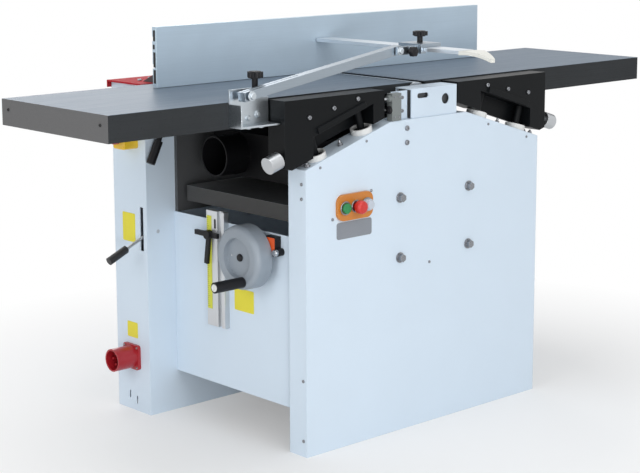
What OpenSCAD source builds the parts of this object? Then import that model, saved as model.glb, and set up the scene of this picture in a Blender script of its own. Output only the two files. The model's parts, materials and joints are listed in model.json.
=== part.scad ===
// Combination planer thicknesser, in millimetres.
// The origin is on the floor below the middle of the two planing tables.
// X runs along the tables, Y to the rear and Z up.

/* [Planing tables] */
// Length over both tables
tables_l = 1800; // [1500:10:2400]
// Width of the tables
table_w = 410; // [310:1:520]
// Height of the working face above the floor
table_z = 845; // [780:1:900]
// Height of the table rim
table_t = 60; // [45:1:75]
// Thickness of the table plate inside the rim
plate_t = 22; // [16:1:28]
// Thickness of the ribs and of the rim
rib_t = 14; // [8:1:20]
// Number of rib bays along each table
rib_bays = 6; // [5:1:8]
// Length of the thin table end beside the cutter
lip_l = 120; // [105:1:170]
// Gap between the knives' circle and the table lips
lip_clear = 3; // [2:0.5:4]

/* [Cutter head] */
// Place of the cutter along the tables
cutter_x = 20; // [10:1:30]
// Radius of the knives' circle
cutter_r = 42; // [36:0.5:50]
// Gap between the ends of the cutter block and the tables' edges
cutter_in = 5; // [2:0.5:12]
// Radius of the cutter shaft in its bearings
shaft_r = 10; // [8:0.5:13]
// Outer radius of the cutter bearings
bearing_r = 23.5; // [19:0.5:27]
// Width of the cutter bearings
bearing_w = 14; // [10:1:20]
// Radius of the feed rollers
roller_r = 18; // [14:0.5:21]
// Gap between the feed rollers and the knives' circle
roller_gap = 2; // [1:0.5:6]
// Radius of the feed rollers' journals
journal_r = 7; // [5:0.5:9]
// Radial clearance of running fits
run_clear = 0.05; // [0.02:0.01:0.08]

/* [Front pedestal] */
// Length of the pedestal
ped_l = 806; // [680:2:940]
// Depth of the pedestal, which stands in front of the tables
ped_d = 60; // [52:1:72]
// Height of the head blocks' floor below the rollers' journals
head_floor = 5; // [3:0.5:9]
// Fall of the sloping top, from the flat to the ends
ped_fall_h = 86; // [60:1:110]
// Length of the flat top
ped_flat_l = 262; // [230:2:300]
// Thickness of the sheet metal
sheet_t = 3; // [2:0.5:4]

/* [Rear cabinet] */
// Length of the cabinet
cab_l = 954; // [900:2:1120]
// Gap between the tables' rear edge and the cabinet
cab_gap = 37; // [34:1:44]
// Depth of the cabinet
cab_d = 136; // [115:1:180]
// Drop of the cabinet's top edge below the tables' face
cab_drop = 7; // [5:0.5:12]
// Thickness of the lid
lid_t = 4; // [3:0.5:5]
// Overhang of the lid at the ends
lid_over = 12; // [4:1:24]
// Height of the lid's rear lip
lid_lip = 18; // [10:1:30]
// Height of the cross panels above the floor
panel_z = 103; // [80:1:125]
// Drop of the cross panels' top edge below the thicknessing table
panel_drop = 32; // [31:1:60]
// Distance of the cross panels' inner faces from the pedestal's ends
panel_in = 15; // [8:1:24]

/* [Table hinges] */
// Distance of the hinge axis in front of the cabinet
hinge_front = 12; // [11:0.5:14]
// Radius of the hinge pins
pin_r = 6; // [5:0.5:7]
// Radius of the hinge eyes
eye_r = 13; // [11:0.5:15]
// Width of a table's hinge arm
arm_w = 24; // [16:1:30]
// Thickness of a hinge post
post_w = 14; // [10:1:18]
// Place of the inner hinges from the middle
hinge_in = 250; // [220:1:300]
// Distance of the outer hinges from the cabinet's ends
hinge_end = 57; // [45:1:80]

/* [Table brackets] */
// Depth of the brackets in front of the tables
bracket_d = 57; // [54:1:58]
// Drop of the bracket's flat top below the tables' face
bracket_drop = 3; // [2:0.5:6]
// Thickness of the bracket walls
bracket_wall = 10; // [8:1:12]
// Distance of the infeed bracket's inner end from the pedestal's flat top
infeed_in = 19; // [15:1:30]
// Reach of the infeed bracket past the pedestal's end
infeed_past = 59; // [45:1:70]
// Gap between the bearing cover and the outfeed bracket
outfeed_gap = 3; // [2:0.5:10]
// Reach of the outfeed bracket past the pedestal's end
outfeed_past = 31; // [20:1:60]
// Radius of the rest studs
stud_r = 9; // [7:0.5:10]
// Radius of the rest cups
cup_r = 26; // [22:0.5:28]
// Height of the rest cups
cup_h = 14; // [11:0.5:15]
// Distance of the inner rest cups from the pedestal's flat top
cup_in = 67; // [58:1:80]
// Distance of the outer rest cups from the pedestal's ends
cup_end = 58; // [48:1:75]
// Radius of the lock knobs
knob_r = 20; // [16:0.5:22]
// Length of the lock knobs
knob_l = 34; // [26:1:48]
// Radius of the lock rods
lock_rod_r = 7; // [5:0.5:8]

/* [Fence] */
// Distance of the fence face from the tables' rear edge
fence_in = 87; // [84:1:110]
// Thickness of the fence
fence_t = 15; // [12:0.5:16]
// Height of the fence
fence_h = 144; // [120:1:170]
// Left end of the fence
fence_left = 530; // [400:5:600]
// Right end of the fence
fence_right = 590; // [400:5:620]
// Gap between the fence and the tables
fence_gap = 1; // [0.5:0.1:2]
// Travel of the fence to the rear
fence_travel = 45; // [30:1:50]

/* [Bridge guard] */
// Width of the guard strip
strip_w = 52; // [44:1:60]
// Length of the guard strip
strip_l = 494; // [440:2:520]
// Height of the strip above the tables at rest
strip_lift = 80; // [70:1:90]
// Thickness of the guard strip
strip_t = 9; // [7:0.5:11]
// Length of the strip's end cap
cap_l = 102; // [80:1:120]
// Length of the guard arm between its pivots
guard_l = 462; // [430:1:500]
// Tilt of the guard arm at rest, in degrees
guard_tilt = 8.7; // [7:0.1:10]
// Width of the guard arm
guard_w = 24; // [20:1:28]
// Height of the guard arm
guard_h = 21; // [18:1:26]
// Wall of the guard arm
guard_wall = 2.5; // [2:0.25:4]

/* [Thicknessing table] */
// Gap between the table's ends and the planes of the cross panels
thick_end = 6; // [3:1:20]
// Gap between the table's sides and the planes of the planing tables' edges
thick_side = 5; // [2:0.5:15]
// Depth of its working face below the planing tables at rest
thick_open = 260; // [230:1:290]
// Thickness of the thicknessing table
thick_t = 38; // [32:1:42]
// Radius of the lift column
column_r = 55; // [45:1:60]
// Length of the lift column
column_l = 250; // [220:1:260]
// Wall of the column's sleeve
sleeve_wall = 14; // [10:1:18]

/* [Handwheel] */
// Radius of the handwheel
wheel_r = 77; // [66:1:86]
// Width of the handwheel
wheel_w = 46; // [40:1:56]
// Place of the wheel in front of the centre line
wheel_y = 80; // [70:1:88]
// Drop of the wheel's axis below the cross panels' top edge
wheel_drop = 60; // [52:1:80]
// Length of the wheel's grip
grip_l = 84; // [70:1:100]
// Radius of the wheel's grip
grip_r = 13; // [10:0.5:15]
// Distance of the grip from the wheel's axis
grip_d = 58; // [50:1:62]
// Radius of the wheel's shaft
wheel_shaft_r = 9; // [8:0.5:11]

/* [Chip hood] */
// Gap between the hood's sides and the tables' edges
hood_in = 13; // [8:1:24]
// Wall of the hood
hood_wall = 4; // [3:0.5:5]
// Radius of the hose spout
spout_r = 50; // [45:1:52]
// Length of the hose spout
spout_l = 75; // [60:1:85]

/* [Drive] */
// Radius of the motor
motor_r = 80; // [70:1:90]
// Height of the motor's axis
motor_z = 330; // [300:1:360]
// Radius of the cutter pulley
small_pulley_r = 27; // [24:0.5:28]
// Radius of the motor pulley
big_pulley_r = 54; // [48:0.5:56]
// Thickness of the drive belt
belt_t = 4; // [3:0.5:5]
// Width of the drive belt
belt_w = 18; // [14:1:20]

/* [Controls] */
// Width of the control plate
plate_w = 113; // [108:1:120]
// Height of the control plate
plate_h = 62; // [54:1:70]
// Place of the control plate from the middle
plate_x = -254; // [-270:1:-240]
// Drop of the control plate's middle below the pedestal's ends
control_drop = 100; // [60:1:160]
// Radius of the push buttons
button_r = 14; // [11:0.5:15]
// Radius of the stop buttons' mushroom heads
mushroom_r = 20; // [17:0.5:20.5]
// Spacing of the buttons
button_pitch = 36; // [35.5:0.1:38]

/* [Hidden] */
$fn = 48;

// Gap between pieces that pass each other
gap = 0.3;
// Overlap of a cutting shape past the face that it cuts
cut = 1;

table_x = tables_l / 2;
table_y = table_w / 2;
table_bottom = table_z - table_t;
cutter_z = table_z - cutter_r;
cutter_l = table_w - 2 * cutter_in;
lip_r = cutter_r + lip_clear;
roller_dx = cutter_r + roller_r + roller_gap;
roller_z = cutter_z - cutter_r + roller_r - 1;

ped_x = ped_l / 2;
ped_flat = ped_flat_l / 2;
ped_y = [-table_y - ped_d, -table_y];
ped_mid = (ped_y[0] + ped_y[1]) / 2;
ped_top_z = roller_z - journal_r - head_floor;
ped_end_z = ped_top_z - ped_fall_h;
ped_fall = ped_fall_h / (ped_x - ped_flat);
slope = atan(ped_fall);

cab_x = cab_l / 2;
cab_y = table_y + cab_gap;
cab_back = cab_y + cab_d;
cab_z = table_z - cab_drop;
lid_z = cab_z + lid_t;
panel_x = ped_x - panel_in;
panel_xs = [panel_x, panel_x + sheet_t];

hinge_y = cab_y - hinge_front;
hinge_z = lid_z + eye_r;
hinge_xs = [hinge_in, cab_x - hinge_end];
cup_xs = [ped_flat + cup_in, ped_x - cup_end];
infeed_ends = [ped_flat + infeed_in, ped_x + infeed_past];
// Half lengths of the head blocks and of the cover over the front one
head_half = roller_dx + journal_r + 5;
cover_half = head_half + 2 + sheet_t;
outfeed_ends = [cutter_x + cover_half + outfeed_gap, ped_x + outfeed_past];
bracket_y = [-table_y - bracket_d, -table_y];
bracket_top = table_z - bracket_drop;
// Heights of the bracket's low lobes and of its raised lower edge above the pedestal's slope
lobe_rise = 16;
edge_rise = 65;
lock_y = bracket_y[0] + 14;

fence_y = table_y - fence_in;
fence_z = table_z + fence_gap;
fence_back = fence_y + fence_t;
tilt_y = fence_back + 9;
tilt_z = table_z + 13;
carriage_top = table_z + 30;

guard_y = -table_y - 26;
// Distance of the guard's pivot from the end of the infeed bracket
guard_past = 83;
guard_pivot_x = -infeed_ends[1] - guard_past;
guard_pivot_z = strip_z() - guard_l * sin(guard_tilt);
guard_end_x = guard_pivot_x + guard_l * cos(guard_tilt);
// Distance of the strip from the arm's end
holder_reach = 92;
strip_x = guard_end_x + holder_reach;

thick_x = panel_x - thick_end;
thick_w = table_w - 2 * thick_side;
thick_z = table_z - thick_open;
thick_bottom = thick_z - thick_t;
panel_top = thick_bottom - panel_drop;
screw_x = -150;
screw_r = 10;
bevel_d = [16, 30];
wheel_x = -panel_xs[1] - 20;
wheel_z = panel_top - wheel_drop;
hood_w = table_w - 2 * hood_in;
belt_y = cab_y + 24;
lever_y = cab_y + 22;
lever_z = 470;
control_z = ped_end_z - control_drop;

function strip_z() = table_z + strip_lift + strip_t / 2;
// Height of the pedestal's sloping top at a distance from the middle
function slope_z(x) = ped_top_z - (x - ped_flat) * ped_fall;

// A box between two places on each axis
module span(x, y, z) {
  translate([x[0], y[0], z[0]]) cube([x[1] - x[0], y[1] - y[0], z[1] - z[0]]);
}

// Round rods along each axis
module rod_x(y, z, r, x) {
  translate([x[0], y, z]) rotate([0, 90, 0]) cylinder(r = r, h = x[1] - x[0]);
}

module rod_y(x, z, r, y) {
  translate([x, y[0], z]) rotate([-90, 0, 0]) cylinder(r = r, h = y[1] - y[0]);
}

module rod_z(x, y, r, z) {
  translate([x, y, z[0]]) cylinder(r = r, h = z[1] - z[0]);
}

// An outline of X and Z, as thick as the span along Y
module wall_xz(y) {
  translate([0, y[1], 0]) rotate([90, 0, 0]) linear_extrude(y[1] - y[0]) children();
}

// An outline of Y and Z, as thick as the span along X
module wall_yz(x) {
  translate([x[0], 0, 0]) rotate([90, 0, 90]) linear_extrude(x[1] - x[0]) children();
}

// A rectangle with round corners
module round_plate(w, h, r) {
  square([w - 2 * r, h], center = true);
  square([w, h - 2 * r], center = true);
  for (sx = [-1, 1], sy = [-1, 1])
    translate([sx * (w / 2 - r), sy * (h / 2 - r)]) circle(r);
}

// A hexagonal nut or bolt head along -Y
module hex_y(x, z, across, y) {
  translate([x, y[1], z]) rotate([90, 30, 0]) cylinder(d = across / cos(30), h = y[1] - y[0], $fn = 6);
}

// A star knob with five lobes that stand in a little from its end faces, along Z
lobe_step = 1.5;

module star_knob(r, h) {
  cylinder(r = r * 0.7, h = h);
  for (a = [36 : 72 : 324])
    rotate(a) translate([r * 0.68, 0, lobe_step]) cylinder(r = r * 0.32, h = h - 2 * lobe_step);
}

// Frame

// End outline of the pedestal, inset by a sheet's thickness for its inside
module pedestal_outline(inset, bottom) {
  polygon([
    [-ped_x + inset, bottom], [ped_x - inset, bottom], [ped_x - inset, ped_end_z - inset],
    [ped_flat, ped_top_z - inset], [-ped_flat, ped_top_z - inset], [-ped_x + inset, ped_end_z - inset]
  ]);
}

module front_pedestal() {
  color("white") difference() {
    wall_xz(ped_y) pedestal_outline(0, 0);
    wall_xz([ped_y[0] + sheet_t, ped_y[1] - sheet_t]) pedestal_outline(sheet_t, -cut);
  }
}

// Slot of the feed lever and vents in the cabinet's left side
slot_y = [lever_y - 7, lever_y + 7];
slot_z = [lever_z - 48, lever_z + 62];
vent_h = 20;
vent_w = 6;
vent_ys = [84, 54];
vent_zs = [38, 28];
shaft_hole_r = shaft_r + 4;

module rear_cabinet() {
  inner = cab_x - sheet_t;
  color("white") difference() {
    span([-cab_x, cab_x], [cab_y, cab_back], [0, cab_z]);
    span([-inner, inner], [cab_y + sheet_t, cab_back + cut], [-cut, cab_z + cut]);
    rod_y(cutter_x, cutter_z, shaft_hole_r, [cab_y - cut, cab_y + sheet_t + cut]);
    span([-cab_x - cut, -inner + cut], slot_y, slot_z);
    rod_y(lever_pivot_x, lever_z, lever_pin_r + run_clear, [cab_y - cut, cab_y + sheet_t + cut]);
    rod_y(clamp_x, clamp_z, clamp_pin_r + run_clear, [cab_y - cut, cab_y + sheet_t + cut]);
    for (i = [0, 1])
      span([-cab_x - cut, -inner + cut], [cab_y + vent_ys[i], cab_y + vent_ys[i] + vent_w],
        [vent_zs[i] - vent_h / 2, vent_zs[i] + vent_h / 2]);
  }
}

module rear_panel() {
  inner = cab_x - sheet_t;
  color("white") span([-inner, inner], [cab_back - sheet_t, cab_back], [0, cab_z]);
}

module cabinet_lid() {
  color("firebrick") {
    span([-cab_x - lid_over, cab_x + lid_over], [cab_y - 2, cab_back + sheet_t], [cab_z, lid_z]);
    span([-cab_x - lid_over, cab_x + lid_over], [cab_back, cab_back + sheet_t], [lid_z - lid_lip, lid_z]);
  }
}

module left_cross_panel() {
  color("white") difference() {
    span([-panel_xs[1], -panel_xs[0]], [ped_y[1], cab_y], [panel_z, panel_top]);
    rod_x(-wheel_y, wheel_z, wheel_shaft_r + 2, [-panel_xs[1] - cut, -panel_xs[0] + cut]);
  }
}

module right_cross_panel() {
  color("white") span(panel_xs, [ped_y[1], cab_y], [panel_z, panel_top]);
}

base_h = 46;
base_x = 200;
sleeve_h = 291;
sleeve_top = panel_z + base_h + sleeve_h;

module lift_base() {
  color("dimgray") difference() {
    union() {
      span([-base_x, base_x], [ped_y[1], cab_y], [panel_z, panel_z + base_h]);
      rod_z(0, 0, column_r + sleeve_wall, [panel_z + base_h, sleeve_top]);
    }
    rod_z(0, 0, column_r + run_clear, [panel_z + base_h, sleeve_top + cut]);
  }
}

// Cutter head

head_top = cutter_z + bearing_r + 7;
front_head_y = [ped_y[0] + 14, ped_y[1] - 8];
rear_head_y = [table_y + 3, cab_y];
front_bearing_y = (front_head_y[0] + front_head_y[1] - bearing_w) / 2;
rear_bearing_y = (rear_head_y[0] + rear_head_y[1] - bearing_w) / 2;

module head_block(y) {
  color("dimgray") difference() {
    span([cutter_x - head_half, cutter_x + head_half], y, [ped_top_z, head_top]);
    rod_y(cutter_x, cutter_z, bearing_r, [y[0] - cut, y[1] + cut]);
    for (side = [-1, 1])
      rod_y(cutter_x + side * roller_dx, roller_z, journal_r + run_clear, [y[0] - cut, y[1] + cut]);
  }
}

module front_head_block() {
  head_block(front_head_y);
}

// Cast side wall below the rear head block, in front of the cabinet
side_wall_t = 10;

module rear_head_block() {
  head_block(rear_head_y);
  color("dimgray") difference() {
    span([-panel_x, panel_x], [cab_y - side_wall_t, cab_y], [panel_top, ped_top_z + 4]);
    for (side = [-1, 1])
      rod_y(cutter_x + side * roller_dx, roller_z, journal_r + run_clear, [rear_head_y[0], cab_y + cut]);
  }
}

module cutter_bearings() {
  color("silver") for (y = [front_bearing_y, rear_bearing_y])
    difference() {
      rod_y(cutter_x, cutter_z, bearing_r, [y, y + bearing_w]);
      rod_y(cutter_x, cutter_z, shaft_r + run_clear, [y - cut, y + bearing_w + cut]);
    }
}

cover_y = [ped_y[0] + 4, ped_y[1] - 2];
cover_top = head_top + 1 + sheet_t;
cover_hole_r = 13;
cover_hole_z = cutter_z + 2;
cover_slot_w = 38;
cover_slot_h = 12;

module bearing_cover() {
  mid_y = (cover_y[0] + cover_y[1]) / 2;
  color("white") difference() {
    span([cutter_x - cover_half, cutter_x + cover_half], cover_y, [ped_top_z, cover_top]);
    span([cutter_x - cover_half - cut, cutter_x + cover_half - sheet_t],
      [cover_y[0] + sheet_t, cover_y[1] - sheet_t], [ped_top_z - cut, cover_top - sheet_t]);
    wall_xz([cover_y[0] - cut, cover_y[0] + sheet_t + cut]) {
      translate([cutter_x - cover_half / 2, cutter_z + 16])
        round_plate(cover_slot_w, cover_slot_h, cover_slot_h / 2 - 0.5);
      translate([cutter_x + cover_half / 2, cover_hole_z]) circle(cover_hole_r);
    }
    rod_x(mid_y, cover_hole_z, cover_hole_r,
      [cutter_x + cover_half - 2 * sheet_t, cutter_x + cover_half + cut]);
    rod_y(cutter_x, cutter_z, shaft_r + 8, [cover_y[1] - 2 * sheet_t, cover_y[1] + cut]);
    for (side = [-1, 1])
      rod_y(cutter_x + side * roller_dx, roller_z, journal_r + 3,
        [cover_y[1] - 2 * sheet_t, cover_y[1] + cut]);
  }
}

knife_t = 3;

module cutter_block() {
  pulley_y = [belt_y - belt_w / 2 - 1, belt_y + belt_w / 2 + 1];
  color("silver") {
    translate([cutter_x, 0, cutter_z]) wall_xz([-cutter_l / 2, cutter_l / 2]) {
      circle(cutter_r - 1.5);
      intersection() {
        circle(cutter_r);
        for (a = [20, 110]) rotate(a) square([2 * cutter_r, knife_t], center = true);
      }
    }
    rod_y(cutter_x, cutter_z, shaft_r, [front_bearing_y - 4, pulley_y[1] + 3]);
    rod_y(cutter_x, cutter_z, small_pulley_r, pulley_y);
    for (y = [pulley_y[0] - 3, pulley_y[1]])
      rod_y(cutter_x, cutter_z, small_pulley_r + belt_t, [y, y + 3]);
  }
}

module feed_roller(side) {
  x = cutter_x + side * roller_dx;
  color("gray") {
    rod_y(x, roller_z, roller_r, [-cutter_l / 2 + 6, cutter_l / 2 - 6]);
    rod_y(x, roller_z, journal_r, [front_head_y[0] + 6, rear_head_y[1] - 6]);
  }
}

module infeed_roller() {
  feed_roller(-1);
}

module outfeed_roller() {
  feed_roller(1);
}

// Drive inside the rear cabinet

rotor_r = 12;
rotor_in = 40;
motor_foot = 25;
motor_foot_t = 10;
motor_y = [belt_y + belt_w / 2 + 12, cab_back - sheet_t];

module motor() {
  foot_x = motor_r + motor_foot;
  color("dimgray") difference() {
    union() {
      rod_y(cutter_x, motor_z, motor_r, motor_y);
      span([cutter_x - foot_x, cutter_x + foot_x], [motor_y[1] - motor_foot_t, motor_y[1]],
        [motor_z - motor_r - 12, motor_z + motor_r + 12]);
    }
    rod_y(cutter_x, motor_z, rotor_r + run_clear, [motor_y[0] - cut, motor_y[0] + rotor_in + 10]);
  }
}

module motor_pulley() {
  pulley_y = [belt_y - belt_w / 2 - 1, belt_y + belt_w / 2 + 1];
  color("gray") {
    rod_y(cutter_x, motor_z, big_pulley_r, pulley_y);
    for (y = [pulley_y[0] - 3, pulley_y[1]])
      rod_y(cutter_x, motor_z, big_pulley_r + belt_t, [y, y + 3]);
    rod_y(cutter_x, motor_z, rotor_r, [pulley_y[0], motor_y[0] + rotor_in]);
  }
}

// Outline of a belt's loop round both pulleys, from straight tangents and two round ends
module belt_loop(grow) {
  r1 = small_pulley_r + gap + grow;
  r2 = big_pulley_r + gap + grow;
  nz = (r2 - r1) / (cutter_z - motor_z);
  nx = sqrt(1 - nz * nz);
  translate([cutter_x, cutter_z]) circle(r1);
  translate([cutter_x, motor_z]) circle(r2);
  polygon([
    [cutter_x + r1 * nx, cutter_z + r1 * nz], [cutter_x + r2 * nx, motor_z + r2 * nz],
    [cutter_x - r2 * nx, motor_z + r2 * nz], [cutter_x - r1 * nx, cutter_z + r1 * nz]
  ]);
}

module drive_belt() {
  color("black") wall_xz([belt_y - belt_w / 2, belt_y + belt_w / 2]) difference() {
    belt_loop(belt_t - 1);
    belt_loop(0);
  }
}

// Chip hood below the cutter, with the hose spout at the infeed side

hood_left = -300;
hood_past = 11;
hood_right = cutter_x + head_half + hood_past;
hood_top = cutter_z - cutter_r - 9;
hood_floor = thick_z + 27;
hood_mouth = 48;
spout_y = 100;
spout_z = hood_floor + spout_r + 6;

module hood_outline(inset) {
  polygon([
    [hood_left + inset, hood_floor + inset], [-40, hood_floor + 28 + inset],
    [hood_right - inset, hood_top - 40 + inset], [hood_right - inset, hood_top - inset],
    [-60, hood_top - inset], [hood_left + inset, hood_top - 30 - inset]
  ]);
}

module chip_hood() {
  half = hood_w / 2;
  color("black") difference() {
    union() {
      wall_xz([-half, half]) hood_outline(0);
      rod_x(spout_y, spout_z, spout_r, [hood_left - spout_l, hood_left + hood_wall]);
      for (x = [-30, cutter_x + 60])
        rod_y(x, hood_top - 24, 8, [ped_y[1], cab_y - side_wall_t]);
    }
    wall_xz([-half + hood_wall, half - hood_wall]) hood_outline(hood_wall);
    rod_x(spout_y, spout_z, spout_r - hood_wall, [hood_left - spout_l - cut, hood_left + 2 * hood_wall]);
    span([cutter_x - hood_mouth, cutter_x + hood_mouth], [-half + hood_wall, half - hood_wall],
      [hood_top - 2 * hood_wall, hood_top + cut]);
  }
}

// Table hinges

module hinge_posts() {
  foot = 46;
  lean = eye_r * cos(45);
  color("dimgray") for (side = [-1, 1], x = hinge_xs, end = [-1, 1]) {
    mid = side * x + end * (arm_w / 2 + gap + post_w / 2);
    wall_yz([mid - post_w / 2, mid + post_w / 2]) difference() {
      union() {
        translate([hinge_y, hinge_z]) circle(eye_r);
        polygon([
          [cab_y, lid_z], [cab_y + foot, lid_z], [hinge_y + lean, hinge_z + lean], [hinge_y, hinge_z]
        ]);
      }
      translate([hinge_y, hinge_z]) circle(pin_r);
    }
  }
}

module hinge_pins() {
  half = arm_w / 2 + gap + post_w;
  color("silver") for (side = [-1, 1], x = hinge_xs)
    rod_x(hinge_y, hinge_z, pin_r, [side * x - half, side * x + half]);
}

// Rests on the pedestal's sloping top

cup_floor = 4;
cup_wall = 4;

// Places its children square on the slope, at a distance from the middle
module on_slope(side, x) {
  mirror([side < 0 ? 1 : 0, 0, 0])
    translate([x, ped_mid, slope_z(x)]) rotate([0, slope, 0]) children();
}

module rest_cups() {
  color("whitesmoke") for (side = [-1, 1], x = cup_xs)
    on_slope(side, x) difference() {
      cylinder(r = cup_r, h = cup_h);
      translate([0, 0, cup_floor]) cylinder(r = cup_r - cup_wall, h = cup_h);
    }
}

bolt_xs = [-100, 141];
bolt_rise = 147;
bolt_zs = [control_z - bolt_rise, control_z];
bolt_across = 17;

module pedestal_bolts() {
  face = ped_y[0];
  color("silver") for (x = bolt_xs, z = bolt_zs) {
    rod_y(x, z, bolt_across * 0.75, [face - 2.5, face]);
    hex_y(x, z, bolt_across, [face - 13, face - 2]);
  }
}

// Safety switch that feels the infeed bracket

switch_w = 30;
switch_x = [1 - ped_flat, 1 - ped_flat + switch_w];
plunger_y = bracket_y[0] + 3;
switch_y = [plunger_y - 9, plunger_y + 9];
switch_z = [ped_top_z + 1, ped_top_z + 66];
plunger_r = 3;
plunger_z = switch_z[1] - 12;
plunger_end = infeed_ends[0] - gap;

module switch_bracket() {
  x = [switch_x[0] + 14, cutter_x - cover_half - outfeed_gap];
  color("white") {
    span(x, [switch_y[1], switch_y[1] + sheet_t], [ped_top_z, switch_z[1] + 2]);
    span(x, [switch_y[1], switch_y[1] + 22], [ped_top_z, ped_top_z + sheet_t]);
  }
}

module limit_switch() {
  color("gray") difference() {
    union() {
      span(switch_x, switch_y, switch_z);
      rod_x(plunger_y, plunger_z, 8, [switch_x[0] - 8, switch_x[0]]);
    }
    rod_x(plunger_y, plunger_z, plunger_r + run_clear, [switch_x[0] - 9, switch_x[0] + 18]);
  }
}

module switch_plunger() {
  color("silver") rod_x(plunger_y, plunger_z, plunger_r, [-plunger_end, switch_x[0] + 8]);
}

// Controls

control_t = 8;
stem_r = 8;
control_face = ped_y[0] - control_t;
button_travel = 3;
stem_in = control_t - button_travel - 0.5;
start_x = plate_x - button_pitch;
lamp_x = plate_x + button_pitch;

module control_plate() {
  color("darkorange") difference() {
    union() {
      translate([plate_x, 0, control_z]) wall_xz([control_face, ped_y[0]]) round_plate(plate_w, plate_h, 20);
      rod_y(start_x, control_z, button_r + 2, [control_face - 3, control_face]);
    }
    for (x = [start_x, plate_x])
      rod_y(x, control_z, stem_r + run_clear, [control_face - 4, ped_y[0] + cut]);
  }
}

module start_button() {
  front = control_face - 3 - button_travel - gap;
  color("green") {
    rod_y(start_x, control_z, button_r - 2, [front - 5, front]);
    rod_y(start_x, control_z, stem_r, [front, control_face + stem_in]);
  }
}

// A mushroom head whose round face points along Z
module mushroom(r, h) {
  rotate_extrude() {
    square([r - h / 2, h]);
    square([r, h / 2]);
    translate([r - h / 2, h / 2]) intersection() {
      circle(h / 2);
      square(h);
    }
  }
}

mushroom_h = 16;

module stop_button() {
  front = control_face - button_travel - gap;
  color("red") {
    rod_y(plate_x, control_z, stem_r, [front - 12, control_face + stem_in]);
    translate([plate_x, front - 10, control_z]) rotate([90, 0, 0]) mushroom(mushroom_r - 4, mushroom_h);
  }
}

module signal_lamp() {
  color("white") {
    rod_y(lamp_x, control_z, button_r, [control_face - 10, control_face]);
    translate([lamp_x, control_face - 9, control_z]) rotate([90, 0, 0]) mushroom(button_r - 3, 8);
  }
}

estop_w = 48;
estop_h = 66;
estop_d = 40;
estop_y = cab_y + 54;
estop_drop = 126;
estop_z = cab_z - estop_drop;
estop_x = -cab_x - estop_d;

module estop_box() {
  color("gold") difference() {
    translate([0, estop_y, estop_z]) wall_yz([estop_x, -cab_x]) round_plate(estop_w, estop_h, 6);
    rod_x(estop_y, estop_z, stem_r + run_clear, [estop_x - cut, estop_x + 20]);
  }
}

module estop_button() {
  back = estop_x - button_travel - gap;
  color("red") {
    rod_x(estop_y, estop_z, stem_r, [back - 8, estop_x + 12]);
    translate([back - 4, estop_y, estop_z]) rotate([0, -90, 0]) mushroom(mushroom_r, mushroom_h);
  }
}

inlet_y = cab_y + 70;
inlet_z = 142;
inlet_w = 64;
inlet_r = 29;
inlet_l = 58;
inlet_pin_r = 3.5;

module power_inlet() {
  flange = -cab_x - 8;
  color("red") {
    translate([0, inlet_y, inlet_z]) wall_yz([flange, -cab_x]) round_plate(inlet_w, inlet_w, 8);
    difference() {
      rod_x(inlet_y, inlet_z, inlet_r, [flange - inlet_l, flange]);
      rod_x(inlet_y, inlet_z, inlet_r - 4, [flange - inlet_l - cut, flange - 10]);
    }
    for (a = [0 : 72 : 288])
      rod_x(inlet_y + 15 * cos(a), inlet_z + 15 * sin(a), inlet_pin_r, [flange - inlet_l + 14, flange - 9]);
  }
}

// Feed lever that leans out of its slot

lever_l = 148;
lever_drop = 24;
lever_t = 8;
lever_pin_r = 5;
lever_pivot_x = -cab_x + 34;

module feed_lever() {
  color("black") translate([lever_pivot_x, lever_y, lever_z]) rotate([0, -lever_drop, 0]) {
    rod_y(0, 0, lever_pin_r, [cab_y - lever_y, 22]);
    rod_x(0, 0, lever_t / 2, [-lever_l, 4]);
    rod_x(0, 0, 10, [-lever_l, -lever_l + 58]);
  }
}

// Lever on the cabinet's front face that locks the infeed table

clamp_in = 45;
clamp_below = 117;
clamp_x = clamp_in - cab_x;
clamp_z = table_z - clamp_below;
clamp_pin_r = 6;
clamp_y = cab_y - 14;
clamp_l = 92;
clamp_drop = 64;

module infeed_clamp() {
  color("black") translate([clamp_x, clamp_y, clamp_z]) rotate([0, -clamp_drop, 0]) {
    rod_y(0, 0, 12, [-8, 8]);
    rod_y(0, 0, clamp_pin_r, [8, cab_y + sheet_t - clamp_y]);
    rod_x(0, 0, 6, [-clamp_l, 0]);
    rod_x(0, 0, 11, [-clamp_l, -clamp_l + 60]);
  }
}

// Planing tables, from the cutter's axis outwards

module table_casting(len, arm_xs) {
  bay_l = (len - lip_l - rib_t * (rib_bays + 1)) / rib_bays;
  rows = 3;
  row_w = (table_w - rib_t * (rows + 1)) / rows;
  lean = eye_r * cos(45);
  difference() {
    union() {
      span([0, len], [-table_y, table_y], [table_z - plate_t, table_z]);
      span([lip_l, len], [-table_y, table_y], [table_bottom, table_z - plate_t / 2]);
      for (x = arm_xs)
        wall_yz([x - arm_w / 2, x + arm_w / 2]) {
          translate([hinge_y, hinge_z]) circle(eye_r);
          polygon([
            [table_y - rib_t, table_z - 34], [hinge_y + lean, hinge_z - lean],
            [hinge_y - lean, hinge_z + lean], [table_y - rib_t, table_z - 1]
          ]);
        }
    }
    for (i = [0 : rib_bays - 1], j = [0 : rows - 1])
      translate([lip_l + rib_t + i * (bay_l + rib_t), -table_y + rib_t + j * (row_w + rib_t),
        table_bottom - cut])
        cube([bay_l, row_w, table_t - plate_t + cut]);
    rod_y(0, cutter_z, lip_r, [-table_y - cut, table_y + cut]);
    rod_x(hinge_y, hinge_z, pin_r + run_clear, [0, len]);
  }
}

module infeed_table() {
  color("slategray") translate([cutter_x, 0, 0]) mirror([1, 0, 0])
    table_casting(table_x + cutter_x, [for (x = hinge_xs) x + cutter_x]);
}

module outfeed_table() {
  color("slategray") translate([cutter_x, 0, 0])
    table_casting(table_x - cutter_x, [for (x = hinge_xs) x - cutter_x]);
}

// Front brackets that carry the tables on the rests

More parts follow.
